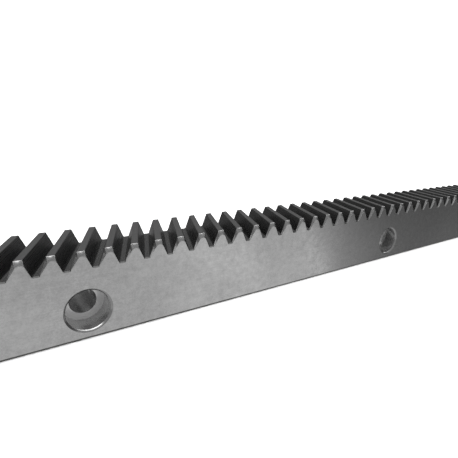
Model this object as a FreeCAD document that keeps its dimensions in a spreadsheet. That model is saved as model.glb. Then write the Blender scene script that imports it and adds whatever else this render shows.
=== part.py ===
"""A helical gear rack: one ground steel bar, 500 mm long, with 75 teeth along its top.

The frame: X runs along the rack, Y across its width from the front face to the back face, Z up.
The origin is at the middle of the base. The front face takes the screw heads, and the back face
is bolted against the machine. The teeth slant to the right as they go back (right-hand helix).

The bar is one padded section. Holes are turned about their axes, and every tooth space is a copy
of one slanted cut with a lofted chamfer at each end.
"""

import FreeCAD
import Part
import math
import os
import Sketcher
from FreeCAD import Placement, Rotation, Vector

OUT_DIR = "parts"

# alias, value, what it is (millimetres and degrees)
DRIVING_SIZES = (
    ("normal_module", 2.0, "module measured square to the tooth"),
    ("helix_angle", 19.5283, "slant of the teeth, 19 degrees 31 minutes 42 seconds"),
    ("pressure_angle", 20.0, "flank angle measured square to the tooth"),
    ("tooth_count", 75, "whole transverse pitches in the length"),
    ("first_tooth_offset", 0.0, "left end to the first tooth's middle, on the front face"),
    ("face_width", 24.0, "front face to back face"),
    ("pitch_line_height", 22.0, "base to pitch line"),
    ("tip_clearance", 0.5, "extra depth below the mating tooth's tip"),
    ("root_corner", 0.2, "leg of the facet in the bottom corners of a tooth space"),
    ("relief_depth", 0.7, "how far the chamfer of a tooth's end goes into the width"),
    ("tip_relief", 1.2, "how far it comes down the face at the tip"),
    ("crest_radius", 1.2, "radius of its arch on the face"),
    ("crest_shift", 0.37, "arch's middle off the tooth's middle, away from the tooth's acute edge"),
    ("root_spread", 0.05, "how far it spreads along the face beside a root corner"),
    ("root_relief", 0.12, "how far it comes down the face at the root"),
    ("base_chamfer", 0.5, "chamfer along the bar's two base edges"),
    ("end_chamfer", 0.3, "chamfer round the bar's end faces, below and beside the teeth"),
    ("screw_spacing", 125.0, "screw hole to screw hole"),
    ("screw_count", 4, "number of screw holes"),
    ("hole_height", 8.0, "base to hole axis"),
    ("screw_bore", 7.0, "diameter of a screw hole"),
    ("head_bore", 11.0, "diameter of the counterbore for a screw head"),
    ("head_depth", 7.0, "depth of the counterbore"),
    ("mouth_chamfer", 0.5, "chamfer at the mouth of a counterbore"),
    ("dowel_bore", 5.7, "diameter of a dowel hole before it is reamed"),
    ("dowel_inset", 31.7, "end face to dowel hole axis"),
    ("small_chamfer", 0.3, "chamfer at the other mouths of the holes"),
    ("cut_margin", 1.0, "how far a cutting profile stands clear of the bar"),
)

# alias, formula, what it is
DERIVED_SIZES = (
    ("pitch", "=pi * normal_module / cos(helix_angle * 1deg)", "tooth to tooth along the rack"),
    ("bar_length", "=tooth_count * pitch", "end face to end face"),
    ("tip_height", "=pitch_line_height + normal_module", "base to tooth tip"),
    ("root_height", "=pitch_line_height - normal_module - tip_clearance", "base to tooth root"),
    ("slant", "=tan(helix_angle * 1deg)", "sideways run of a tooth for each millimetre of width"),
    ("flank_slope", "=tan(pressure_angle * 1deg) / cos(helix_angle * 1deg)", "flank run for each mm of height"),
    ("flank_rise", "=90deg - atan(flank_slope)", "flank angle from the root, seen from the front"),
    ("space_root", "=pitch / 2 - 2 * (pitch_line_height - root_height) * flank_slope", "tooth space at the root"),
    ("mouth_root", "=space_root + 2 * root_spread", "the same, on a face"),
    ("lead_in", "=ceil((first_tooth_offset + face_width * slant) / pitch)", "spaces that start left of the bar"),
)

# middle of the leftmost space that the rack needs, where it starts on the front face
FIRST_SPACE = "-sizes.bar_length / 2 + sizes.first_tooth_offset + (0.5 - sizes.lead_in) * sizes.pitch"


def make_sheet(doc):
    """The spreadsheet of sizes: name, value or formula, and meaning in each row."""
    sheet = doc.addObject("Spreadsheet::Sheet", "sizes")
    for row, (alias, value, meaning) in enumerate(DRIVING_SIZES + DERIVED_SIZES, start=1):
        sheet.set(f"A{row}", alias)
        sheet.set(f"B{row}", str(value))
        sheet.set(f"C{row}", meaning)
        sheet.setAlias(f"B{row}", alias)
    doc.recompute()
    return sheet


def origin_part(body, role):
    """One of the body's own origin planes or axes, by its role."""
    return next(feature for feature in body.Origin.OriginFeatures if feature.Role == role)


def new_sketch(body, name, plane, offset=None):
    """A sketch on an origin plane, moved by an offset of expressions along the plane's own axes."""
    sketch = body.newObject("Sketcher::SketchObject", name)
    sketch.AttachmentSupport = [(origin_part(body, plane), "")]
    sketch.MapMode = "FlatFace"
    for axis, expression in (offset or {}).items():
        sketch.setExpression(f".AttachmentOffset.Base.{axis}", expression)
    return sketch


def draw_lines(sketch, points):
    """Straight edges round a ring of points, one after another."""
    for start, end in zip(points, points[1:] + points[:1]):
        sketch.addGeometry(Part.LineSegment(Vector(*start, 0), Vector(*end, 0)))


def constrain(sketch, kind, *where, size=None, name=None):
    """Adds one constraint. A size is an expression, and a sized constraint is bound to it by its name."""
    index = sketch.addConstraint(Sketcher.Constraint(kind, *where))
    if size is not None:
        sketch.renameConstraint(index, name)
        sketch.setExpression(f"Constraints.{name}", size)


def join_in_ring(sketch, count):
    """Joins each edge's end to the start of the next one, all the way round."""
    for edge in range(count):
        constrain(sketch, "Coincident", edge, 2, (edge + 1) % count, 1)


def pattern(body, name, features, spacing, count):
    """Copies features along the rack, to the right."""
    copies = body.newObject("PartDesign::LinearPattern", name)
    copies.Originals = features
    copies.Direction = (origin_part(body, "X_Axis"), [""])
    copies.Mode = "Spacing"
    copies.setExpression("Offset", spacing)
    copies.setExpression("Occurrences", count)
    copies.Refine = False
    body.Tip = copies


def plain_bar(body, sheet):
    """The plain bar: an end view with chamfered base edges, padded along the length, its end edges chamfered."""
    half, high, cut = sheet.face_width / 2, sheet.tip_height, sheet.base_chamfer
    sketch = new_sketch(body, "bar_section", "YZ_Plane")
    draw_lines(sketch, [(-half + cut, 0), (half - cut, 0), (half, cut), (half, high), (-half, high), (-half, cut)])
    join_in_ring(sketch, 6)
    constrain(sketch, "Vertical", 2)
    constrain(sketch, "PointOnObject", 0, 1, -1)
    for right, left in (((0, 2), (0, 1)), ((1, 2), (4, 2)), ((2, 2), (4, 1))):
        constrain(sketch, "Symmetric", *right, *left, -2)
    constrain(sketch, "DistanceX", 3, 2, 3, 1, 2 * half, size="sizes.face_width", name="width")
    constrain(sketch, "DistanceY", -1, 1, 2, 2, high, size="sizes.tip_height", name="height")
    constrain(sketch, "DistanceX", 0, 2, 1, 2, cut, size="sizes.base_chamfer", name="cut_across")
    constrain(sketch, "DistanceY", 0, 2, 1, 2, cut, size="sizes.base_chamfer", name="cut_up")
    pad = body.newObject("PartDesign::Pad", "bar")
    pad.Profile = sketch
    pad.Midplane = True
    pad.setExpression("Length", "sizes.bar_length")
    body.Document.recompute()

    def on_end_face(edge):
        """True for an edge of an end face, apart from the top one, where the teeth are cut."""
        across_bar = edge.BoundBox.XLength < sheet.cut_margin
        return across_bar and edge.BoundBox.ZMin < high - sheet.cut_margin

    ends = body.newObject("PartDesign::Chamfer", "bar_ends")
    ends.Base = (pad, [f"Edge{i}" for i, edge in enumerate(pad.Shape.Edges, start=1) if on_end_face(edge)])
    ends.setExpression("Size", "sizes.end_chamfer")
    body.Document.recompute()


def turned_hole(body, name, place, steps):
    """A hole through the width, turned about its axis from half of its section.

    Steps are corners of that half, from the front face to the back: expressions for the radius and
    for the depth from the front face.
    """
    sketch = new_sketch(body, f"{name}_section", "XY_Plane", {"x": place, "z": "sizes.hole_height"})
    corners = [("0", "0 - sizes.cut_margin")] + steps + [("0", "sizes.face_width + sizes.cut_margin")]
    corners = [(radius, f"{depth} - sizes.face_width / 2") for radius, depth in corners]
    points = [(sketch.evalExpression(radius), sketch.evalExpression(depth)) for radius, depth in corners]
    draw_lines(sketch, points)
    join_in_ring(sketch, len(points))
    for corner, ((radius, depth), point) in enumerate(zip(corners, points)):
        if corner in (0, len(points) - 1):
            constrain(sketch, "PointOnObject", corner, 1, -2)
        else:
            constrain(sketch, "DistanceX", -1, 1, corner, 1, point[0], size=radius, name=f"radius_{corner}")
        constrain(sketch, "DistanceY", -1, 1, corner, 1, point[1], size=depth, name=f"depth_{corner}")
    hole = body.newObject("PartDesign::Groove", name)
    hole.Profile = sketch
    hole.ReferenceAxis = (sketch, ["V_Axis"])
    hole.Angle = 360
    body.Document.recompute()
    return hole


def screw_holes(body):
    """Counterbored screw holes, evenly spaced about the middle of the rack."""
    steps = [
        ("sizes.head_bore / 2 + sizes.mouth_chamfer + sizes.cut_margin", "0 - sizes.cut_margin"),
        ("sizes.head_bore / 2", "sizes.mouth_chamfer"),
        ("sizes.head_bore / 2", "sizes.head_depth"),
        ("sizes.screw_bore / 2", "sizes.head_depth"),
        ("sizes.screw_bore / 2", "sizes.face_width - sizes.small_chamfer"),
        ("sizes.screw_bore / 2 + sizes.small_chamfer + sizes.cut_margin", "sizes.face_width + sizes.cut_margin"),
    ]
    first = "(1 - sizes.screw_count) * sizes.screw_spacing / 2"
    hole = turned_hole(body, "screw_hole", first, steps)
    pattern(body, "screw_holes", [hole], "sizes.screw_spacing", "sizes.screw_count")


def dowel_holes(body):
    """Two plain holes near the ends, drilled under size, for dowels that are fitted on assembly."""
    flare = "sizes.dowel_bore / 2 + sizes.small_chamfer + sizes.cut_margin"
    steps = [
        (flare, "0 - sizes.cut_margin"),
        ("sizes.dowel_bore / 2", "sizes.small_chamfer"),
        ("sizes.dowel_bore / 2", "sizes.face_width - sizes.small_chamfer"),
        (flare, "sizes.face_width + sizes.cut_margin"),
    ]
    hole = turned_hole(body, "dowel_hole", "sizes.dowel_inset - sizes.bar_length / 2", steps)
    pattern(body, "dowel_holes", [hole], "sizes.bar_length - 2 * sizes.dowel_inset", "2")


def flank_of(reach, crest, root, radius, slope):
    """First guess for a flank: its two ends, as a distance from the crest's middle and a height.

    With a radius the flank is the line from the root corner that touches the crest's arc.
    """
    if not radius:
        return (reach - slope * (crest - root), crest), (reach, root)
    drop = root - crest + radius
    turn = math.pi / 2 - math.atan2(drop, reach) - math.acos(radius / math.hypot(reach, drop))
    return (radius * math.sin(turn), crest - radius * (1 - math.cos(turn))), (reach, root)


def space_section(body, sheet, name, depth, shift=None):
    """One section of a tooth space, standing along the rack at a depth behind the front face.

    Its ten edges run round from the lid above the bar: on each side an upright at the middle of a
    crest, a crest, a flank and a corner facet, with the root between the facets. Inside the width
    the crest is the tooth's flat tip. On a face, where a shift is given, it is the arch of the end
    chamfer: an arc whose middle stands off the tooth's middle by the shift, and which runs smoothly
    into the flank.
    """
    on_face = shift is not None
    shift = shift or "0"
    sketch = new_sketch(
        body, name, "XZ_Plane",
        {"x": f"{FIRST_SPACE} + ({depth}) * sizes.slant + ({shift})", "z": f"sizes.face_width / 2 - ({depth})"},
    )
    lid = "sizes.tip_height + sizes.cut_margin"
    crest = "sizes.tip_height - sizes.tip_relief" if on_face else "sizes.tip_height"
    bottom = "sizes.root_height - sizes.root_relief" if on_face else "sizes.root_height"
    half = "sizes.mouth_root / 2" if on_face else "sizes.space_root / 2"
    corners = (f"0 - {half} - ({shift})", f"{half} - ({shift})")

    # first guesses for the solver, on each side from the root up to the lid
    lid_height, crest_height, root, left, right = (sketch.evalExpression(size) for size in (lid, crest, bottom, *corners))
    middle, leg = sheet.pitch / 2, sheet.root_corner
    radius = sheet.crest_radius if on_face else 0
    sides = []
    for side, corner in ((1, right), (-1, -left)):
        (top, top_height), _ = flank_of(middle - corner, crest_height, root, radius, sheet.flank_slope)
        lean = math.atan2(middle - corner - top, top_height - root)
        points = [
            (corner - leg, root),
            (corner + leg * math.sin(lean), root + leg * math.cos(lean)),
            (middle - top, top_height),
            (middle, crest_height),
            (middle, lid_height),
        ]
        sides.append([(side * across, up) for across, up in points])
    right_side, left_side = sides
    ring = right_side[4:] + left_side[::-1] + right_side[:4]
    for edge, (start, end) in enumerate(zip(ring, ring[1:] + ring[:1])):
        if on_face and edge in (2, 8):
            side = math.copysign(middle, start[0])
            circle = Part.Circle(Vector(side, crest_height - radius, 0), Vector(0, 0, 1), radius)
            turn = [circle.parameter(Vector(*point, 0)) for point in (end, start)]
            sketch.addGeometry(Part.ArcOfCircle(circle, *turn))
        else:
            sketch.addGeometry(Part.LineSegment(Vector(*start, 0), Vector(*end, 0)))
    left_corner = sketch.addGeometry(Part.Point(Vector(left, root, 0)), True)
    right_corner = sketch.addGeometry(Part.Point(Vector(right, root, 0)), True)

    # the arcs turn against the ring, so they meet their neighbours by their other ends
    far_end = [1 if on_face and edge in (2, 8) else 2 for edge in range(10)]
    for edge in range(10):
        after = (edge + 1) % 10
        kind = "Tangent" if on_face and edge in (2, 7) else "Coincident"
        constrain(sketch, kind, edge, far_end[edge], after, 3 - far_end[after])
    constrain(sketch, "Vertical", 1)
    constrain(sketch, "Horizontal", 5)
    for one, other in (((0, 2), (0, 1)), ((1, 2), (9, 1))):
        constrain(sketch, "Symmetric", *one, *other, -2)
    for corner, edge in ((left_corner, 3), (right_corner, 7), (left_corner, 5), (right_corner, 5)):
        constrain(sketch, "PointOnObject", corner, 1, edge)
    if on_face:
        constrain(sketch, "Equal", 2, 8)
        constrain(sketch, "Vertical", 2, 3, 2, 2)
        constrain(sketch, "Vertical", 8, 3, 8, 1)
        constrain(sketch, "Radius", 8, radius, size="sizes.crest_radius", name="arch")
    else:
        constrain(sketch, "Symmetric", 3, 1, 7, 2, -2)
        constrain(sketch, "Horizontal", 2)
        rise = math.pi / 2 - math.atan(sheet.flank_slope)
        constrain(sketch, "Angle", 7, rise, size="sizes.flank_rise", name="flank")

    constrain(sketch, "DistanceX", 0, 2, 0, 1, sheet.pitch, size="sizes.pitch", name="across")
    constrain(sketch, "DistanceY", -1, 1, 0, 1, lid_height, size=lid, name="lid")
    constrain(sketch, "DistanceY", -1, 1, 1, 2, crest_height, size=crest, name="crest")
    constrain(sketch, "DistanceY", -1, 1, 5, 1, root, size=bottom, name="root")
    constrain(sketch, "DistanceX", -1, 1, left_corner, 1, left, size=corners[0], name="left_corner")
    constrain(sketch, "DistanceX", -1, 1, right_corner, 1, right, size=corners[1], name="right_corner")
    facets = {
        "left_floor": ("DistanceX", left_corner, 1, 5, 1),
        "right_floor": ("DistanceX", 5, 2, right_corner, 1),
        "left_facet": ("Distance", left_corner, 1, 3, 2),
        "right_facet": ("Distance", right_corner, 1, 7, 1),
    }
    for name, (kind, *ends) in facets.items():
        constrain(sketch, kind, *ends, leg, size="sizes.root_corner", name=name)
    return sketch


def slanted_space(body, sheet):
    """One tooth space, cut through the whole width along the slant."""
    space = body.newObject("PartDesign::Pocket", "tooth_space")
    space.Profile = space_section(body, sheet, "tooth_space_section", "0")
    space.UseCustomVector = True
    space.Direction = Vector(sheet.slant, 1, 0)
    space.setExpression("Direction.x", "sizes.slant")
    space.AlongSketchNormal = True
    space.setExpression("Length", "sizes.face_width")
    space.Refine = False
    return space


def end_relief(body, sheet, side, face, foot, shift):
    """The chamfer of the tooth ends round one space: a ruled loft from its mouth on a face to its foot."""
    relief = body.newObject("PartDesign::SubtractiveLoft", f"{side}_end_relief")
    relief.Profile = space_section(body, sheet, f"{side}_relief_mouth", face, shift)
    relief.Sections = [space_section(body, sheet, f"{side}_relief_foot", foot)]
    relief.Ruled = True
    relief.Refine = False
    return relief


def teeth(body, sheet):
    """All the tooth spaces: one space with its two end reliefs, copied at each pitch."""
    back = "sizes.face_width"
    cuts = [
        slanted_space(body, sheet),
        end_relief(body, sheet, "front", "0", "sizes.relief_depth", "sizes.crest_shift"),
        end_relief(body, sheet, "back", back, f"{back} - sizes.relief_depth", "0 - sizes.crest_shift"),
    ]
    body.Document.recompute()
    pattern(body, "tooth_spaces", cuts, "sizes.pitch", "sizes.tooth_count + sizes.lead_in")


def check_model(doc, body):
    """Stops with a message if a feature failed, a sketch is loose or the rack isn't one sound solid."""
    for feature in doc.Objects:
        if {"Invalid", "Error"} & set(feature.State):
            raise RuntimeError(f"{feature.Name} failed: {feature.State}")
        if feature.isDerivedFrom("Sketcher::SketchObject") and not feature.FullyConstrained:
            raise RuntimeError(f"{feature.Name} is not fully constrained")
    shape = body.Shape
    if shape.isNull() or not shape.isValid() or len(shape.Solids) != 1:
        raise RuntimeError(f"{body.Label} is not one valid solid")


def main():
    doc = FreeCAD.newDocument("gear_rack")
    sheet = make_sheet(doc)
    rack = doc.addObject("PartDesign::Body", "rack")
    rack.Label = "rack"
    rack.Placement = Placement(Vector(0, 0, 0), Rotation())
    plain_bar(rack, sheet)
    screw_holes(rack)
    dowel_holes(rack)
    teeth(rack, sheet)
    doc.recompute()
    check_model(doc, rack)

    os.makedirs(OUT_DIR, exist_ok=True)
    rack.Shape.exportStep(f"{OUT_DIR}/{rack.Label}.step")
    print(f"{rack.Label}: {rack.Shape.Volume:.1f} mm3, {len(rack.Shape.Faces)} faces")


main()
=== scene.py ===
"""A ground steel helical gear rack: its toothed bar, its finishes, the stage, the lights and the camera."""

import math
from typing import NamedTuple

import bmesh
import bpy
import numpy as np
from bpy.props import FloatProperty, FloatVectorProperty, IntProperty, PointerProperty
from mathutils import Matrix, Vector


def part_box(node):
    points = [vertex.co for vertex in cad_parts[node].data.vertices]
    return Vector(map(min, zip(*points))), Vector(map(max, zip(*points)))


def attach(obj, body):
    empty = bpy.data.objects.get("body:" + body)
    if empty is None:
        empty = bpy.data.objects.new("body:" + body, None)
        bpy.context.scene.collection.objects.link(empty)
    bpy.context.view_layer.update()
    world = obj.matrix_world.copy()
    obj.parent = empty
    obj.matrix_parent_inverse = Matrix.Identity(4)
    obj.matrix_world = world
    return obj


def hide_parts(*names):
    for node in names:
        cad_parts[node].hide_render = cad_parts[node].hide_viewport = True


bl_info = {
    "name": "Ground gear rack",
    "version": (1, 0, 0),
    "blender": (4, 5, 0),
    "location": "3D View > Sidebar > Gear rack",
    "description": "Makes a helical gear rack of ground steel on a pale studio floor",
    "category": "Object",
}

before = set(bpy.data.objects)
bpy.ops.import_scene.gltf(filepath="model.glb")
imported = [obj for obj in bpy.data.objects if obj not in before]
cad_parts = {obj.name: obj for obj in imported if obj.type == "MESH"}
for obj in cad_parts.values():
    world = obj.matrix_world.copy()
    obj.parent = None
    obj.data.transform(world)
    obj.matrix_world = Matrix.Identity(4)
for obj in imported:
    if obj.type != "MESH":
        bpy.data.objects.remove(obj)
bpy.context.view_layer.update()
RACK_LOW, RACK_HIGH = (Vector(corner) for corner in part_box("rack"))

IMAGE_SIDE = 458
MM = 0.001

# Points closer than a weld become one, and so do points closer than a sliver where the end cuts meet.
WELD = 0.001 * MM
SLIVER = 0.02 * MM

# How far a cutter stands out of the bar, and how far the facet at a hole's mouth leans from the face.
CLEAR = MM
FACET_LEAN = math.radians(20)

# Faces that meet at a smaller angle than this are shaded as one.
CREASE = math.radians(40)

FLOOR_SIZE = 20
FLOOR_GREY = 0.9
CLIP = (5 * MM, 20)


def length(name, description, millimetres):
    """A size in the panel, given in millimetres and kept in metres."""
    return FloatProperty(
        name=name, description=description, unit="LENGTH", precision=5, min=0, default=millimetres * MM
    )


def angle(name, description, degrees):
    """An angle in the panel, given in degrees and kept in radians."""
    default = math.radians(degrees)
    return FloatProperty(name=name, description=description, subtype="ANGLE", default=default)


def colour(name, description, grey):
    """A colour in the panel, given as a grey."""
    return FloatVectorProperty(
        name=name, description=description, subtype="COLOR", size=3, min=0, max=1, default=(grey,) * 3
    )


def factor(name, description, value):
    """A plain number in the panel."""
    return FloatProperty(name=name, description=description, min=0, default=value)


class RackShape(bpy.types.PropertyGroup):
    """Sizes of the bar, its teeth and its holes."""

    tooth_count: IntProperty(name="Teeth", description="Whole pitches in the length", default=75)
    helix: angle("Helix", "Slant of the teeth across the bar", 19.5283)
    flank_lean: angle("Pressure angle", "Lean of a flank, square to the tooth", 20)
    tooth_depth: length("Tooth depth", "Tip to root", 4.5)
    addendum: length("Addendum", "Tip to pitch line", 2.0)
    root_fillet: length("Root fillet", "Leg of the rounded corners at the root", 0.2)
    relief_depth: length("Relief depth", "How far a tooth's end bevel goes into the width", 0.7)
    tip_relief: length("Tip relief", "How far the bevel comes down the face at the tip", 1.2)
    crest_radius: length("Crest radius", "Radius of the bevel's arch on a face", 1.2)
    crest_shift: length("Crest shift", "Arch's middle off the tooth's, away from the acute edge", 0.37)
    root_spread: length("Root spread", "How far the bevel spreads beside a root corner", 0.05)
    root_relief: length("Root relief", "How far the bevel comes down the face at the root", 0.12)
    base_chamfer: length("Base chamfer", "Chamfer along the base", 0.5)
    end_chamfer: length("End chamfer", "Chamfer round the ends", 0.3)
    hole_height: length("Hole height", "Base to the hole axes", 8)
    screw_spacing: length("Screw spacing", "Screw hole to screw hole", 125)
    screw_bore: length("Screw bore", "Diameter of a screw hole", 7)
    head_bore: length("Head bore", "Diameter of a counterbore", 11)
    head_depth: length("Head depth", "Depth of a counterbore", 7)
    mouth_chamfer: length("Mouth chamfer", "Chamfer of a counterbore", 0.5)
    dowel_bore: length("Dowel bore", "Diameter of a dowel hole", 5.7)
    dowel_inset: length("Dowel inset", "End face to dowel hole axis", 31.7)
    small_chamfer: length("Small chamfer", "Chamfer at the other mouths", 0.3)
    base_round: length("Base round", "Leg of the roundings beside the base chamfer", 0.22)
    broken_edge: length("Broken edge", "Leg of the rounding that breaks a sharp edge", 0.07)
    broken_tip: length("Broken tip", "Leg of the rounding along the tips of the teeth", 0.12)


class RackFinish(bpy.types.PropertyGroup):
    """Colours and roughness of the finishes on the one piece of steel."""

    face: colour("Ground face", "Surface-ground sides and base", 0.56)
    # Painted shade: the flank tone is far darker than the face tone, so the flanks look shaded from every
    # side.
    flank: colour("Ground flank", "Oiled flanks of the teeth", 0.115)
    land: colour("Tooth land", "Tips of the teeth", 0.23)
    root: colour("Tooth root", "Bottoms of the tooth spaces", 0.25)
    bevel: colour("End bevel", "Bevelled ends of the teeth", 0.36)
    bore: colour("Bored wall", "Walls of the holes", 0.36)
    faced: colour("Faced floor", "Floors of the counterbores", 0.6)
    # Partly painted highlight: the edge tone is lighter than the land and the bevel, so besides the light
    # that the roundings catch it paints a thin light line along them.
    edge: colour("Broken edge", "Small roundings at the edges", 0.45)
    # Painted shade: the near-black tone of the base chamfers stands for the shadow and dark reflections
    # along the foot of the bar, beside the floor.
    dark: colour("Base chamfer", "Unground chamfers along the base", 0.035)
    face_roughness: factor("Face roughness", "Roughness of the ground sides", 0.17)
    flank_roughness: factor("Flank roughness", "Roughness of the flanks and roots", 0.28)
    land_roughness: factor("Land roughness", "Roughness of the tips", 0.34)
    bore_roughness: factor("Bore roughness", "Roughness of the bored walls", 0.2)
    edge_roughness: factor("Edge roughness", "Roughness of the broken edges", 0.38)


class RackLight(bpy.types.PropertyGroup):
    """The studio round the rack. Lens and floor see plain white, and the steel mirrors the rest."""

    white: factor("White", "Strength of the white that lights the floor", 2.2)
    high: factor("Overhead", "Strength of the ceiling", 0.42)
    back: factor("Back wall", "Strength of the dark wall behind the rack", 0.11)
    front: factor("Front wall", "Strength of the wall behind the lens, where its tone is 1", 0.55)
    back_floor: factor("Back floor", "Strength of the ground behind the rack", 0.6)
    front_floor: factor("Front floor", "Strength of the ground before the rack, where its tone is 1", 0.8)
    under: factor("Under", "Strength of the ground right under the rack", 0.6)
    strip: factor("Strip light", "Strength of the long soft box over the rack", 3.4)


class RackCamera(bpy.types.PropertyGroup):
    """Where the camera stands, and how it looks at the rack."""

    place: FloatVectorProperty(
        name="Place", description="Where the lens stands", subtype="TRANSLATION", unit="LENGTH",
        default=(-0.0814, -0.1101, 0.0555),
    )
    heading: angle("Heading", "Turn to the right from straight across the rack", 36.85)
    dip: angle("Dip", "How far the lens looks down", 15.02)
    roll: angle("Roll", "Turn of the camera about its own line of sight", 2.05)
    focal_pixels: FloatProperty(
        name="Focal length", description="Focal length in pixels of the picture", default=385.2,
    )
    centre_pixel: FloatVectorProperty(
        name="Centre", description="Pixel that the lens axis passes through", size=2,
        default=(262.0, 229.0),
    )


class Look(NamedTuple):
    """One finish: its tone and roughness by their names in RackFinish, and its marks.

    The contrasts say how far lines and clouds darken and lighten the tone. The depth is how far the
    lines are cut in, in millimetres. Metal is 1 for clean steel and less where dirt scatters light.
    """

    tone: str
    roughness: str
    marks: str
    line_contrast: float
    cloud_contrast: float
    depth: float
    metal: float


LOOKS = {
    "ground_face": Look("face", "face_roughness", "level", 0.06, 0.17, 0.0006, 1),
    # The flanks' dark tone is painted shade; their grinding lines are real marks.
    "ground_flank": Look("flank", "flank_roughness", "along_teeth", 0.45, 0.15, 0.002, 1),
    "tooth_land": Look("land", "land_roughness", "along_teeth", 0.15, 0.12, 0.001, 1),
    "tooth_root": Look("root", "flank_roughness", "along_teeth", 0.25, 0.12, 0.001, 1),
    "end_bevel": Look("bevel", "face_roughness", "along_teeth", 0.2, 0.12, 0.0006, 1),
    "bored_steel": Look("bore", "bore_roughness", "turned", 0.12, 0.1, 0.0004, 0.83),
    # Partly painted highlight along the rounded edges, by a tone lighter than the land and the bevel.
    "broken_edge": Look("edge", "edge_roughness", "level", 0.1, 0.2, 0, 1),
    # Painted shade: near black and half metal, so the base chamfers stay dark from every side.
    "dark_chamfer": Look("dark", "land_roughness", "level", 0.3, 0.3, 0.001, 0.5),
    "faced_steel": Look("faced", "bore_roughness", "turned", 0.12, 0.1, 0.0004, 0.7),
}
FACE, FLANK, LAND, ROOT, BEVEL, BORE, EDGE, PAINTED_SHADE, FACED = range(len(LOOKS))

# Steps along half a crest or its arch, round a broken edge, round a root corner and round a hole.
CREST_STEPS = 6
EDGE_STEPS = 2
FILLET_STEPS = 4
HOLE_STEPS = 96

# Noise: its octaves, how strong the finer ones are in grinding lines, and the ranges stretched to 0 to 1.
NOISE_DETAIL = 3.0
LINE_ROUGHNESS = 0.6
LINE_RANGE = (0.3, 0.7)
CLOUD_RANGE = (0.36, 0.64)
CLOUD_SHARES = {"Patch": 0.35, "Cloud": 0.35, "Grain": 0.3}

# Tone of the walls and ground before the rack, from far left at 0 to far right at 1.
GROUND_TONES = (
    (0.0, 0.72), (0.5, 0.72), (0.66, 0.72), (0.74, 0.95), (0.77, 0.95), (0.79, 0.78),
    (0.825, 0.72), (0.838, 1.15), (0.846, 0.45), (0.88, 0.27), (0.91, 0.18), (0.95, 0.2),
)

# Where the parts of the studio begin and are whole: by a direction's part away from the lens, and up.
BEFORE_RACK = (0.15, -0.5)
GROUND = (-0.14, -0.28)
UNDER_RACK = (-0.6, -0.85)
CEILING = (0.32, 0.62)

# Directions to the soft box's ends, and where it begins and is whole: by sines off its line, and by
# cosines to its middle.
STRIP_ENDS = ((-0.3, -0.5, 0.8), (0.85, -0.1, 0.5))
STRIP_SIDES = (0.2, 0.12)
STRIP_REACH = (0.5, 0.66)


def rounded_corner(before, corner, after, leg, steps):
    """Rows of points on the quadratic curve that rounds a corner.

    It leaves the line from before a leg short of the corner, and joins the line to after a leg past
    it. The three may be arrays of points.
    """

    def a_leg_towards(end):
        way = end - corner
        return corner + leg * way / np.linalg.norm(way, axis=-1, keepdims=True)

    s = np.linspace(0, 1, steps + 1).reshape(-1, *[1] * np.ndim(corner))
    return a_leg_towards(before) * (1 - s) ** 2 + corner * 2 * s * (1 - s) + a_leg_towards(after) * s**2


def side_of_tooth(shape, on_face, lean_over):
    """One side of a tooth's outline, as points (x, z) from its crest's middle to the next space's middle.

    Inside the width the crest is level up to its rounded corner, and the flank is the line x =
    half_land + slope * (crest - z). On a face the crest is an arc, x = r sin(a) and z = crest - r (1 -
    cos(a)), up to the angle where it meets its tangent from the root corner, which is the flank
    there. The crest's middle stands lean_over nearer to this side than the tooth's middle.
    """
    half_pitch = shape["pitch"] / 2
    slope = math.tan(shape["flank_lean"]) / math.cos(shape["helix"])
    crest, root = shape["tip"], shape["tip"] - shape["tooth_depth"]
    root_half = half_pitch / 2 - (shape["tooth_depth"] - shape["addendum"]) * slope
    if on_face:
        root_half += shape["root_spread"]
        crest -= shape["tip_relief"]
        root -= shape["root_relief"]
    foot = np.array([half_pitch - root_half - lean_over, root])

    if on_face:
        radius = shape["crest_radius"]
        drop = foot - (0, crest - radius)
        last_turn = math.pi / 2 - math.atan2(drop[1], drop[0]) - math.acos(radius / math.hypot(*drop))
        turn = np.linspace(0, last_turn, CREST_STEPS + EDGE_STEPS + 1)
        top = np.stack([radius * np.sin(turn), crest - radius * (1 - np.cos(turn))], axis=1)
    else:
        middle = np.array([0, crest])
        shoulder = np.array([foot[0] - slope * (crest - root), crest])
        corner = rounded_corner(middle, shoulder, foot, shape["broken_tip"], EDGE_STEPS)
        level = np.linspace(middle, corner[0], CREST_STEPS, endpoint=False)
        top = np.concatenate([level, corner])
    space = np.array([half_pitch - lean_over, root])
    fillet = rounded_corner(top[-1], foot, space, shape["root_fillet"], FILLET_STEPS)
    return np.concatenate([top, fillet, [space]])


def toothed_outline(shape, on_face, shift):
    """The top outline of a row of teeth, as points (x, z), with each crest's middle shifted to the right.

    One period is the left side mirrored about the crest's middle, and the right side. Tooth k
    stands at k times the pitch from the bar's left end.
    """
    right = side_of_tooth(shape, on_face, shift)
    left = side_of_tooth(shape, on_face, -shift) * (-1, 1)
    period = (shift, 0) + np.concatenate([left[:0:-1], right[:-1]])
    lead = math.ceil(shape["width"] * math.tan(shape["helix"]) / shape["pitch"]) + 1
    middles = shape["low_x"] + shape["pitch"] * np.arange(-lead, shape["tooth_count"] + 2)
    return (np.stack([middles, 0 * middles], axis=1)[:, None] + period).reshape(-1, 2)


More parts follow.
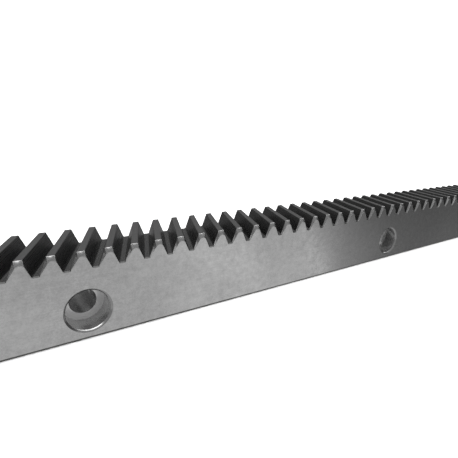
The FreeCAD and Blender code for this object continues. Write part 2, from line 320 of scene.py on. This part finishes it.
def toothed_sleeve(shape):
    """The bar's skin, longer than the bar and open at both ends, with the finish of each quad.

    It is a grid: along it runs the tooth outline, and round it run eight lines, which are the mouth
    and the foot of the front bevel, the foot and the mouth of the back bevel, and the four edges of
    the base. A line at the depth d has x = outline x + tan(helix) * d, and between two lines the
    surface is ruled. Each line is rounded to a few rows, for which a mouth is bent square to the
    outline. The bevels take more off the acute edge of a tooth than off the obtuse one, so on a face
    the crest's middle is shifted away from the acute edge.
    """
    slant, deep, width = math.tan(shape["helix"]), shape["relief_depth"], shape["width"]
    cut = shape["base_chamfer"]

    def line(outline, depth, height=None):
        """The outline's points at a depth behind the front face, at their own or a given height."""
        across = np.full(len(outline), depth - width / 2)
        level = outline[:, 1] if height is None else np.full(len(outline), height)
        return np.stack([outline[:, 0] + slant * depth, across, level], axis=1)

    def inward(outline, depth):
        """Points beside the outline in the solid, at right angles to it."""
        way = np.gradient(outline, axis=0)
        beside = outline + np.stack([way[:, 1], -way[:, 0]], axis=1) / np.hypot(*way.T)[:, None]
        return line(beside, depth)

    front = toothed_outline(shape, True, shape["crest_shift"])
    plain = toothed_outline(shape, False, 0)
    back = toothed_outline(shape, True, -shape["crest_shift"])
    front_mouth, front_foot = line(front, 0), line(plain, deep)
    back_foot, back_mouth = line(plain, width - deep), line(back, width)
    base = [
        line(back, width, cut), line(back, width, 0) - (0, cut, 0),
        line(front, 0, 0) + (0, cut, 0), line(front, 0, cut),
    ]
    corners = [
        (inward(front, 0), front_mouth, front_foot),
        (front_mouth, front_foot, back_foot),
        (front_foot, back_foot, back_mouth),
        (back_foot, back_mouth, inward(back, width)),
        (line(back, width, 2 * cut), base[0], base[1]),
        (base[0], base[1], base[1] - (0, cut, 0)),
        (base[2] + (0, cut, 0), base[2], base[3]),
        (base[2], base[3], line(front, 0, 2 * cut)),
    ]
    legs = [shape["broken_edge"]] * 4 + [shape["base_round"]] * 4
    rows = [rounded_corner(*corner, leg, EDGE_STEPS) for corner, leg in zip(corners, legs)]

    side = [LAND] * (CREST_STEPS + EDGE_STEPS) + [FLANK] + [ROOT] * (FILLET_STEPS + 1)
    teeth = np.tile(side[::-1] + side, len(front) // (2 * len(side)))[:-1]
    # Where the tips meet the end bevels, the crease roundings take the edge finish, whose lighter tone
    # paints a thin highlight there.
    crease = np.where(teeth == LAND, EDGE, teeth)
    edge = np.where(teeth == ROOT, BEVEL, EDGE)
    bevel, face, dark = (np.full_like(teeth, finish) for finish in (BEVEL, FACE, PAINTED_SHADE))
    finish = []
    # The base chamfer rows take the near-black finish, which paints shade along the foot of the bar.
    for rounding, beyond in (
        (edge, bevel), (crease, teeth), (crease, bevel), (edge, face),
        (dark, dark), (dark, face), (dark, dark), (dark, face),
    ):
        finish += [rounding] * EDGE_STEPS + [beyond]
    return np.concatenate(rows), np.stack(finish)


def grid_faces(rows, columns):
    """Corners of the quads of a grid whose last row joins its first, one quad in each line."""
    row, column = np.meshgrid(np.arange(rows), np.arange(columns - 1), indexing="ij")
    here = row * columns + column
    after = (row + 1) % rows * columns + column
    return np.stack([here, here + 1, after + 1, after], axis=-1).reshape(-1, 4)


def mesh_from(name, points, faces, finish):
    """A mesh from arrays of points, faces and material indices."""
    mesh = bpy.data.meshes.new(name)
    mesh.from_pydata(points.reshape(-1, 3), [], faces)
    mesh.polygons.foreach_set("material_index", finish.ravel())
    return mesh


def hole_cutter(shape, centres, corners):
    """A solid of revolution about each hole axis: (x, z) = centre + r (cos a, sin a), y = front + depth.

    Its profile has corners of a radius and a depth, each with the leg of its rounding, and runs from
    the axis in front of the bar to the axis behind it. What runs outward only is a floor, what runs
    inward only is a wall, and the rest is chamfers.
    """
    places = [np.array(corner[:2], float) for corner in corners]
    steps = [places[:1], places[-1:]]
    for before, place, after, (_, _, leg) in zip(places, places[1:], places[2:], corners[1:]):
        steps.insert(-1, rounded_corner(before, place, after, leg, EDGE_STEPS + 1) if leg else [place])
    radius, depth = np.concatenate(steps).T
    turn = np.linspace(0, 2 * math.pi, HOLE_STEPS, endpoint=False)[:, None, None]
    x = centres + radius[:, None] * np.cos(turn)
    z = shape["hole_height"] + radius[:, None] * np.sin(turn) + 0 * centres
    y = depth[:, None] - shape["width"] / 2 + 0 * x
    rings = np.moveaxis(np.stack([x, y, z], axis=-1), 2, 0)
    faces = grid_faces(HOLE_STEPS, len(radius))
    all_faces = np.concatenate([faces + i * HOLE_STEPS * len(radius) for i in range(len(centres))])
    outward, inward = np.abs(np.diff(radius)), np.abs(np.diff(depth))
    floor, chamfer = inward < outward / 10, inward < outward * 2
    finish = np.select([floor, chamfer], [FACED, BEVEL], BORE)
    return rings.reshape(-1, 3), all_faces, np.tile(finish, HOLE_STEPS * len(centres))


def hole_cutters(shape):
    """Cutters for the counterbored screw holes and the dowel holes, as one mesh with outward faces.

    A mouth's chamfer opens to a flatter facet where it meets the face of the bar, which breaks its edge.
    """
    width, small, leg = shape["width"], shape["small_chamfer"], shape["broken_edge"]
    screw, head, mouth = shape["screw_bore"] / 2, shape["head_bore"] / 2, shape["mouth_chamfer"]
    dowel = shape["dowel_bore"] / 2
    rise = leg * math.tan(FACET_LEAN)
    out = CLEAR * math.tan(FACET_LEAN)

    def opening(bore, chamfer):
        """A chamfered mouth at the depth 0, from the axis to the end of the bore."""
        facet = bore + chamfer - rise
        return [(0, rise - out, 0), (facet + CLEAR, rise - out, 0), (facet, rise, 0), (bore, chamfer, 0)]

    def exit_of(bore, chamfer):
        """The same mouth at the back, from the end of the bore to the axis."""
        inward = reversed(opening(bore, chamfer))
        return [(radius, width - depth, rounding) for radius, depth, rounding in inward]

    bored = [(head, shape["head_depth"], 0), (screw, shape["head_depth"], leg)]
    screw_corners = opening(head, mouth) + bored + exit_of(screw, small)
    dowel_corners = opening(dowel, small) + exit_of(dowel, small)
    screws = shape["screw_spacing"] * np.array([-1.5, -0.5, 0.5, 1.5])
    dowels = (shape["high_x"] - shape["dowel_inset"]) * np.array([-1, 1])
    points, faces, finish = hole_cutter(shape, screws, screw_corners)
    more_points, more_faces, more_finish = hole_cutter(shape, dowels, dowel_corners)
    faces = np.concatenate([faces, more_faces + len(points)])
    points = np.concatenate([points, more_points])
    mesh = mesh_from("hole_cutters", points, faces, np.concatenate([finish, more_finish]))
    solid = bmesh.new()
    solid.from_mesh(mesh)
    bmesh.ops.remove_doubles(solid, verts=solid.verts, dist=WELD)
    bmesh.ops.recalc_face_normals(solid, faces=solid.faces)
    solid.to_mesh(mesh)
    solid.free()
    return mesh


def cut_and_cap(solid, point, normal):
    """Cuts off what lies beyond a plane and closes the opening with one flat face."""
    everything = solid.verts[:] + solid.edges[:] + solid.faces[:]
    cut = bmesh.ops.bisect_plane(
        solid, geom=everything, dist=WELD / 10, plane_co=point, plane_no=normal, clear_outer=True
    )
    rim = [item for item in cut["geom_cut"] if isinstance(item, bmesh.types.BMEdge) and item.is_boundary]
    for cap in bmesh.ops.holes_fill(solid, edges=rim, sides=0)["faces"]:
        cap.material_index = FACE


def cut_ends(solid, shape):
    """The flat end faces, and the chamfers between them and the sides, the base and the base chamfers."""
    half, cut = shape["width"] / 2, shape["base_chamfer"]
    slope = math.sqrt(0.5)
    sides = (
        ((0, -half, 0), (0, -1, 0)),
        ((0, half, 0), (0, 1, 0)),
        ((0, 0, 0), (0, 0, -1)),
        ((0, -half, cut), (0, -slope, -slope)),
        ((0, half, cut), (0, slope, -slope)),
    )
    for end in (-1, 1):
        face = Vector((end, 0, 0))
        cut_and_cap(solid, face * shape["high_x"], face)
        for place, out in sides:
            corner = Vector(place) + face * (shape["high_x"] - shape["end_chamfer"])
            cut_and_cap(solid, corner, (face + Vector(out)).normalized())


def drilled(solid_mesh, cutter_mesh):
    """The solid less the cutters, as a new mesh."""
    pair = [bpy.data.objects.new(mesh.name, mesh) for mesh in (solid_mesh, cutter_mesh)]
    for item in pair:
        bpy.context.collection.objects.link(item)
    cut = pair[0].modifiers.new("holes", "BOOLEAN")
    cut.operation = "DIFFERENCE"
    cut.solver = "EXACT"
    cut.object = pair[1]
    bpy.context.view_layer.update()
    made = bpy.data.meshes.new_from_object(pair[0].evaluated_get(bpy.context.evaluated_depsgraph_get()))
    for item in pair:
        bpy.data.objects.remove(item)
    return made


class RACK_OT_bar(bpy.types.Operator):
    """Makes the toothed and drilled bar"""

    bl_idname = "rack.bar"
    bl_label = "Toothed bar"

    def execute(self, context):
        settings = context.scene.rack_shape
        shape = {name: getattr(settings, name) for name in RackShape.__annotations__}
        shape.update(
            low_x=RACK_LOW.x, high_x=RACK_HIGH.x, tip=RACK_HIGH.z, width=RACK_HIGH.y - RACK_LOW.y,
            pitch=(RACK_HIGH.x - RACK_LOW.x) / settings.tooth_count,
        )
        points, finish = toothed_sleeve(shape)
        sleeve = mesh_from("toothed_bar", points, grid_faces(*points.shape[:2]), finish)
        solid = bmesh.new()
        solid.from_mesh(sleeve)
        cut_ends(solid, shape)
        solid.to_mesh(sleeve)
        solid.free()
        mesh = drilled(sleeve, hole_cutters(shape))
        solid = bmesh.new()
        solid.from_mesh(mesh)
        bmesh.ops.remove_doubles(solid, verts=solid.verts, dist=WELD)
        near_ends = [v for v in solid.verts if abs(v.co.x) > shape["high_x"] - 2 * settings.end_chamfer]
        bmesh.ops.remove_doubles(solid, verts=near_ends, dist=SLIVER)
        # Ground faces are flat. The others are shaded smooth up to the creases.
        for face in solid.faces:
            face.smooth = face.material_index != FACE
        for edge in solid.edges:
            edge.smooth = edge.calc_face_angle(math.pi) < CREASE
        solid.to_mesh(mesh)
        solid.free()
        mesh.name = "toothed_bar"
        bar = bpy.data.objects.new("toothed_bar", mesh)
        context.collection.objects.link(bar)
        for name in LOOKS:
            mesh.materials.append(finish_material(name, context.scene.rack_finish, settings))
        # At this weight the largest face at a point sets its normal, which keeps broad faces even.
        level = bar.modifiers.new("level_faces", "WEIGHTED_NORMAL")
        level.weight = 100
        level.keep_sharp = True
        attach(bar, "root")
        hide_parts("rack")
        return {"FINISHED"}


class Wiring:
    """Short ways to add nodes to a tree and to link them."""

    def __init__(self, tree):
        self.tree = tree

    def node(self, kind, /, inputs=None, **settings):
        """A node with its settings, whose inputs are values or sockets to link."""
        made = self.tree.nodes.new(kind)
        for name, value in settings.items():
            setattr(made, name, value)
        for name, value in (inputs or {}).items():
            if isinstance(value, bpy.types.NodeSocket):
                self.link(value, made.inputs[name])
            else:
                made.inputs[name].default_value = value
        return made

    def link(self, value, socket):
        self.tree.links.new(value, socket)

    def math(self, operation, *values):
        return self.node("ShaderNodeMath", dict(enumerate(values)), operation=operation).outputs[0]

    def vector(self, x, y, z=0.0):
        return self.node("ShaderNodeCombineXYZ", {"X": x, "Y": y, "Z": z}).outputs[0]

    def stretch(self, value, start, end):
        """Runs evenly from 0 to 1 while the value runs from start to end."""
        limits = {"Value": value, "From Min": start, "From Max": end}
        return self.node("ShaderNodeMapRange", limits).outputs[0]

    def ease(self, value, start, end, high=1.0):
        """Runs smoothly from 0 to high while the value runs from start to end."""
        limits = {"Value": value, "From Min": start, "From Max": end, "To Max": high}
        return self.node("ShaderNodeMapRange", limits, interpolation_type="SMOOTHSTEP").outputs[0]

    def noise(self, place, scale, roughness=0.5):
        """Fractal noise from 0 to 1, most of it near 0.5."""
        inputs = {"Vector": place, "Scale": scale, "Detail": NOISE_DETAIL, "Roughness": roughness}
        return self.node("ShaderNodeTexNoise", inputs).outputs[0]


def new_group(name, inputs, outputs):
    """The wiring of a new shader node group, the sockets that it is given and those that it puts out."""
    group = bpy.data.node_groups.new(name, "ShaderNodeTree")
    for socket, value in inputs.items():
        made = group.interface.new_socket(socket, in_out="INPUT", socket_type="NodeSocketFloat")
        made.default_value = value
    for socket in outputs:
        group.interface.new_socket(socket, in_out="OUTPUT", socket_type="NodeSocketFloat")
    wiring = Wiring(group)
    return wiring, wiring.node("NodeGroupInput").outputs, wiring.node("NodeGroupOutput").inputs


def grinding_group():
    """Fine lines left by the wheel: noise that is drawn out along one level direction.

    Turn is the direction's angle from the rack's length. Lines are 1 / Fineness apart and Length
    times as long as that.
    """
    settings = {"Turn": 0.0, "Fineness": 6000.0, "Length": 250.0}
    wiring, given, out = new_group("grinding_lines", settings, ["Lines"])
    turning = {
        "Vector": wiring.node("ShaderNodeTexCoord").outputs["Object"],
        "Angle": wiring.math("MULTIPLY", given["Turn"], -1.0),
    }
    turned = wiring.node("ShaderNodeVectorRotate", turning, rotation_type="Z_AXIS").outputs[0]
    along = wiring.math("DIVIDE", given["Fineness"], given["Length"])
    drawing = {0: turned, 1: wiring.vector(along, given["Fineness"], given["Fineness"])}
    drawn = wiring.node("ShaderNodeVectorMath", drawing, operation="MULTIPLY").outputs[0]
    wiring.link(wiring.stretch(wiring.noise(drawn, 1.0, LINE_ROUGHNESS), *LINE_RANGE), out["Lines"])
    return wiring.tree


def mottling_group():
    """Soft clouds of tone on ground steel: broad patches, clouds of a few millimetres and fine grain."""
    settings = {"Patch": 60.0, "Cloud": 500.0, "Grain": 2200.0}
    wiring, given, out = new_group("steel_mottling", settings, ["Clouds"])
    place = wiring.node("ShaderNodeTexCoord").outputs["Object"]
    total = 0.0
    for name, share in CLOUD_SHARES.items():
        total = wiring.math("MULTIPLY_ADD", wiring.noise(place, given[name]), share, total)
    wiring.link(wiring.stretch(total, *CLOUD_RANGE), out["Clouds"])
    return wiring.tree


def turning_group():
    """Rings left by a boring tool: noise over the depth and the distance from a screw hole's axis.

    The axes are Height above the base and Spacing apart, half a spacing from the bar's middle. The
    rings are 1 / Fineness apart.
    """
    settings = {"Spacing": 0.0, "Height": 0.0, "Fineness": 7000.0}
    wiring, given, out = new_group("turning_marks", settings, ["Rings"])
    place = wiring.node("ShaderNodeTexCoord").outputs["Object"]
    x, y, z = wiring.node("ShaderNodeSeparateXYZ", {0: place}).outputs
    low = wiring.math("MULTIPLY", given["Spacing"], -0.5)
    high = wiring.math("MULTIPLY", given["Spacing"], 0.5)
    across = wiring.math("WRAP", wiring.math("ADD", x, high), high, low)
    flat = {0: wiring.vector(across, wiring.math("SUBTRACT", z, given["Height"]))}
    reach = wiring.node("ShaderNodeVectorMath", flat, operation="LENGTH").outputs["Value"]
    rings = wiring.noise(wiring.vector(reach, y), given["Fineness"])
    wiring.link(wiring.stretch(rings, *LINE_RANGE), out["Rings"])
    return wiring.tree


def shade_group():
    """Darkens and lightens a finish by its lines and clouds.

    For each the factor is 1 + contrast * (2 * mask - 1). Shade is their product and Gloss is 2 - Shade.
    """
    settings = {"Lines": 0.5, "Clouds": 0.5, "Line contrast": 0.1, "Cloud contrast": 0.1}
    wiring, given, out = new_group("steel_shade", settings, ["Shade", "Gloss"])

    def part(mask, contrast):
        swing = wiring.math("MULTIPLY_ADD", given[mask], 2.0, -1.0)
        return wiring.math("MULTIPLY_ADD", swing, given[contrast], 1.0)

    shade = wiring.math("MULTIPLY", part("Lines", "Line contrast"), part("Clouds", "Cloud contrast"))
    wiring.link(shade, out["Shade"])
    wiring.link(wiring.math("SUBTRACT", 2.0, shade), out["Gloss"])
    return wiring.tree


GROUP_MAKERS = {
    "grinding_lines": grinding_group,
    "steel_mottling": mottling_group,
    "turning_marks": turning_group,
    "steel_shade": shade_group,
}


def effect(wiring, name, inputs):
    """What a shared effect's node group puts out. The group is made when it is first asked for."""
    group = bpy.data.node_groups.get(name) or GROUP_MAKERS[name]()
    return wiring.node("ShaderNodeGroup", inputs, node_tree=group).outputs


def finish_material(name, finishes, shape):
    """Bare steel whose tone and roughness vary with its lines and clouds, with the lines cut in."""
    look = LOOKS[name]
    material = bpy.data.materials.new(name)
    material.use_nodes = True
    wiring = Wiring(material.node_tree)
    surface = material.node_tree.nodes["Principled BSDF"].inputs
    marks = {
        "level": ("grinding_lines", {"Turn": 0.0}),
        "along_teeth": ("grinding_lines", {"Turn": math.pi / 2 - shape.helix}),
        "turned": ("turning_marks", {"Spacing": shape.screw_spacing, "Height": shape.hole_height}),
    }
    lines = effect(wiring, *marks[look.marks])[0]
    shade = effect(wiring, "steel_shade", {
        "Lines": lines, "Clouds": effect(wiring, "steel_mottling", {})[0],
        "Line contrast": look.line_contrast, "Cloud contrast": look.cloud_contrast,
    })
    shading = {0: getattr(finishes, look.tone), "Scale": shade["Shade"]}
    tone = wiring.node("ShaderNodeVectorMath", shading, operation="SCALE").outputs[0]
    rough = wiring.math("MULTIPLY", shade["Gloss"], getattr(finishes, look.roughness))
    wiring.link(tone, surface["Base Color"])
    wiring.link(rough, surface["Roughness"])
    surface["Metallic"].default_value = look.metal
    if look.depth:
        relief = {"Height": lines, "Distance": look.depth * MM, "Strength": 1.0}
        wiring.link(wiring.node("ShaderNodeBump", relief).outputs[0], surface["Normal"])
    return material


def add_camera(look):
    """A camera from its heading, dip and roll, with a focal length and centre given in pixels."""
    forward = Vector((
        math.sin(look.heading) * math.cos(look.dip),
        math.cos(look.heading) * math.cos(look.dip),
        -math.sin(look.dip),
    ))
    level = Vector((math.cos(look.heading), -math.sin(look.heading), 0))
    upward = level.cross(forward)
    right = math.cos(look.roll) * level + math.sin(look.roll) * upward
    up = math.cos(look.roll) * upward - math.sin(look.roll) * level
    data = bpy.data.cameras.new("rack_camera")
    data.sensor_fit = "HORIZONTAL"
    data.lens = data.sensor_width * look.focal_pixels / IMAGE_SIDE
    data.shift_x = (IMAGE_SIDE / 2 - look.centre_pixel[0]) / IMAGE_SIDE
    data.shift_y = (look.centre_pixel[1] - IMAGE_SIDE / 2) / IMAGE_SIDE
    data.clip_start, data.clip_end = CLIP
    camera = bpy.data.objects.new("rack_camera", data)
    turned = Matrix((right, up, -forward)).transposed().to_4x4()
    camera.matrix_world = Matrix.Translation(Vector(look.place)) @ turned
    bpy.context.collection.objects.link(camera)
    bpy.context.scene.camera = camera


class RACK_OT_stage(bpy.types.Operator):
    """Adds the pale floor, the soft studio light and the camera"""

    bl_idname = "rack.stage"
    bl_label = "Stage"

    def execute(self, context):
        bpy.ops.mesh.primitive_plane_add(size=FLOOR_SIZE, location=(0, 0, 0))
        floor = context.active_object
        floor.name = "floor"
        material = bpy.data.materials.new("pale_floor")
        material.use_nodes = True
        surface = material.node_tree.nodes["Principled BSDF"].inputs
        surface["Base Color"].default_value = (FLOOR_GREY, FLOOR_GREY, FLOOR_GREY, 1)
        floor.data.materials.append(material)
        floor.visible_glossy = False
        add_world(context.scene, context.scene.rack_light)
        context.scene.view_settings.view_transform = "Standard"
        add_camera(context.scene.rack_camera)
        return {"FINISHED"}


def add_world(scene, light):
    """Plain white for the lens and the floor, and a soft studio for the steel to mirror.

    By height the studio has a ground, walls and a ceiling, which run softly into one another. Walls
    and ground before the rack differ from those behind it, are brightest to the right of the lens
    and fall off to the far right. One long soft box hangs over the rack, a little before it.
    """
    world = bpy.data.worlds.new("studio")
    world.use_nodes = True
    wiring = Wiring(world.node_tree)
    world.node_tree.nodes.clear()
    direction = wiring.node("ShaderNodeTexCoord").outputs["Generated"]
    across, away, up = wiring.node("ShaderNodeSeparateXYZ", {0: direction}).outputs

    def mixed(share, low, high):
        return wiring.node("ShaderNodeMix", {0: share, 2: low, 3: high}).outputs[0]

    def cosine_to(aim):
        pair = {0: direction, 1: aim.normalized()}
        return wiring.node("ShaderNodeVectorMath", pair, operation="DOT_PRODUCT").outputs["Value"]

    ramp = wiring.node("ShaderNodeValToRGB", {0: wiring.stretch(across, -1.0, 1.0)})
    stops = ramp.color_ramp.elements
    first_stops = len(stops)
    for number, (place, tone) in enumerate(GROUND_TONES):
        stop = stops[number] if number < first_stops else stops.new(place)
        stop.position = place
        stop.color = (tone, tone, tone, 1)
    tones = ramp.outputs[0]

    before = wiring.ease(away, *BEFORE_RACK)
    walls = mixed(before, light.back, wiring.math("MULTIPLY", tones, light.front))
    floor = mixed(before, light.back_floor, wiring.math("MULTIPLY", tones, light.front_floor))
    floor = mixed(wiring.ease(up, *UNDER_RACK), floor, light.under)
    room = mixed(wiring.ease(up, *CEILING), mixed(wiring.ease(up, *GROUND), walls, floor), light.high)

    start, end = (Vector(aim) for aim in STRIP_ENDS)
    beside = wiring.ease(wiring.math("ABSOLUTE", cosine_to(start.cross(end))), *STRIP_SIDES)
    along = wiring.ease(cosine_to(start + end), *STRIP_REACH, light.strip)
    studio = wiring.math("MULTIPLY_ADD", beside, along, room)

    mirrored = wiring.node("ShaderNodeBackground", {"Strength": studio})
    plain = wiring.node("ShaderNodeBackground", {"Strength": light.white})
    for background in (mirrored, plain):
        background.inputs["Color"].default_value = (1, 1, 1, 1)
    ray = wiring.node("ShaderNodeLightPath").outputs["Is Glossy Ray"]
    both = {0: ray, 1: plain.outputs[0], 2: mirrored.outputs[0]}
    shown = wiring.node("ShaderNodeMixShader", both).outputs[0]
    wiring.node("ShaderNodeOutputWorld", {"Surface": shown})
    scene.world = world


class RACK_PT_panel(bpy.types.Panel):
    """Buttons for the rack and its stage"""

    bl_idname = "RACK_PT_panel"
    bl_label = "Gear rack"
    bl_space_type = "VIEW_3D"
    bl_region_type = "UI"
    bl_category = "Gear rack"

    def draw(self, context):
        for operator in (RACK_OT_bar, RACK_OT_stage):
            self.layout.operator(operator.bl_idname)


SETTINGS = {
    "rack_shape": RackShape,
    "rack_finish": RackFinish,
    "rack_light": RackLight,
    "rack_camera": RackCamera,
}
CLASSES = (*SETTINGS.values(), RACK_OT_bar, RACK_OT_stage, RACK_PT_panel)


def register():
    for item in CLASSES:
        bpy.utils.register_class(item)
    for name, group in SETTINGS.items():
        setattr(bpy.types.Scene, name, PointerProperty(type=group))


def unregister():
    for name in SETTINGS:
        delattr(bpy.types.Scene, name)
    for item in reversed(CLASSES):
        bpy.utils.unregister_class(item)


def main():
    register()
    bpy.ops.rack.bar()
    bpy.ops.rack.stage()


if __name__ == "__main__":
    main()
